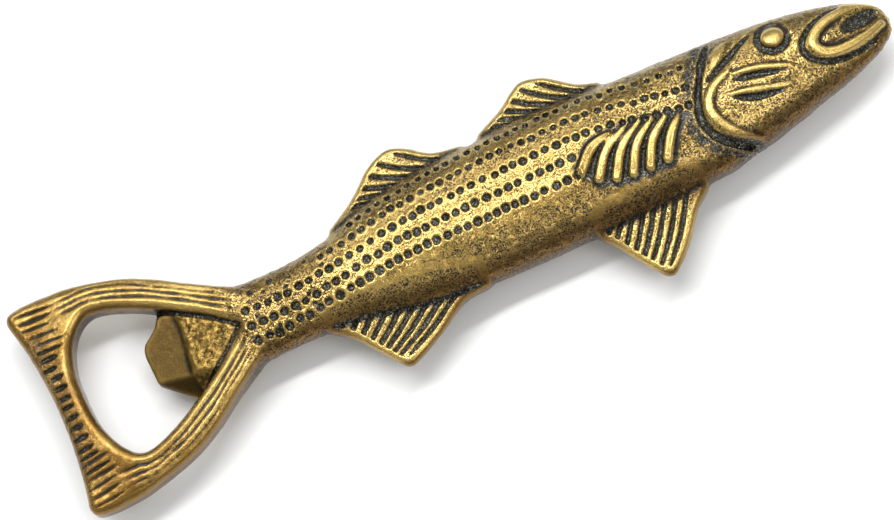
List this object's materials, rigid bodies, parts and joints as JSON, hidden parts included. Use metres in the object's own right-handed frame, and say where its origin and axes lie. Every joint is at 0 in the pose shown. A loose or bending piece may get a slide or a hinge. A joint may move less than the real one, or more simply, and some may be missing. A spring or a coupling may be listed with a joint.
{
  "type": "bottle opener",
  "caption": "Cast fish lying on its flank, with fins, gill covers and eyes, whose forked tail is a ring with a prying lip for crown caps.",
  "frame": {"origin": "centre of the overall box at its lowest point, with the fish lying on its left flank", "axes": "+X from the tail to the snout, +Y to the fish's back, +Z out of its right flank"},
  "size_m": [0.165, 0.045, 0.016],
  "materials": {
    "antique_brass": "sand cast and burnished, dark patina left in the recesses",
    "ground_brass": "ground face on the prying lip, dulled by patina"
  },
  "bodies": {
    "root": {"trunk": "antique_brass", "head": "antique_brass", "tail_stem": "antique_brass", "upper_tail_arm": "antique_brass", "lower_tail_arm": "antique_brass", "tail_edge": "antique_brass", "prying_lip": "ground_brass", "first_dorsal_fin": "antique_brass", "second_dorsal_fin": "antique_brass", "pelvic_fin": "antique_brass", "anal_fin": "antique_brass", "right_pectoral_fin": "antique_brass", "left_pectoral_fin": "antique_brass", "right_gill_cover": "antique_brass", "left_gill_cover": "antique_brass", "right_eye": "antique_brass", "left_eye": "antique_brass", "right_mouth_rim": "antique_brass", "left_mouth_rim": "antique_brass"}
  },
  "joints": []
}
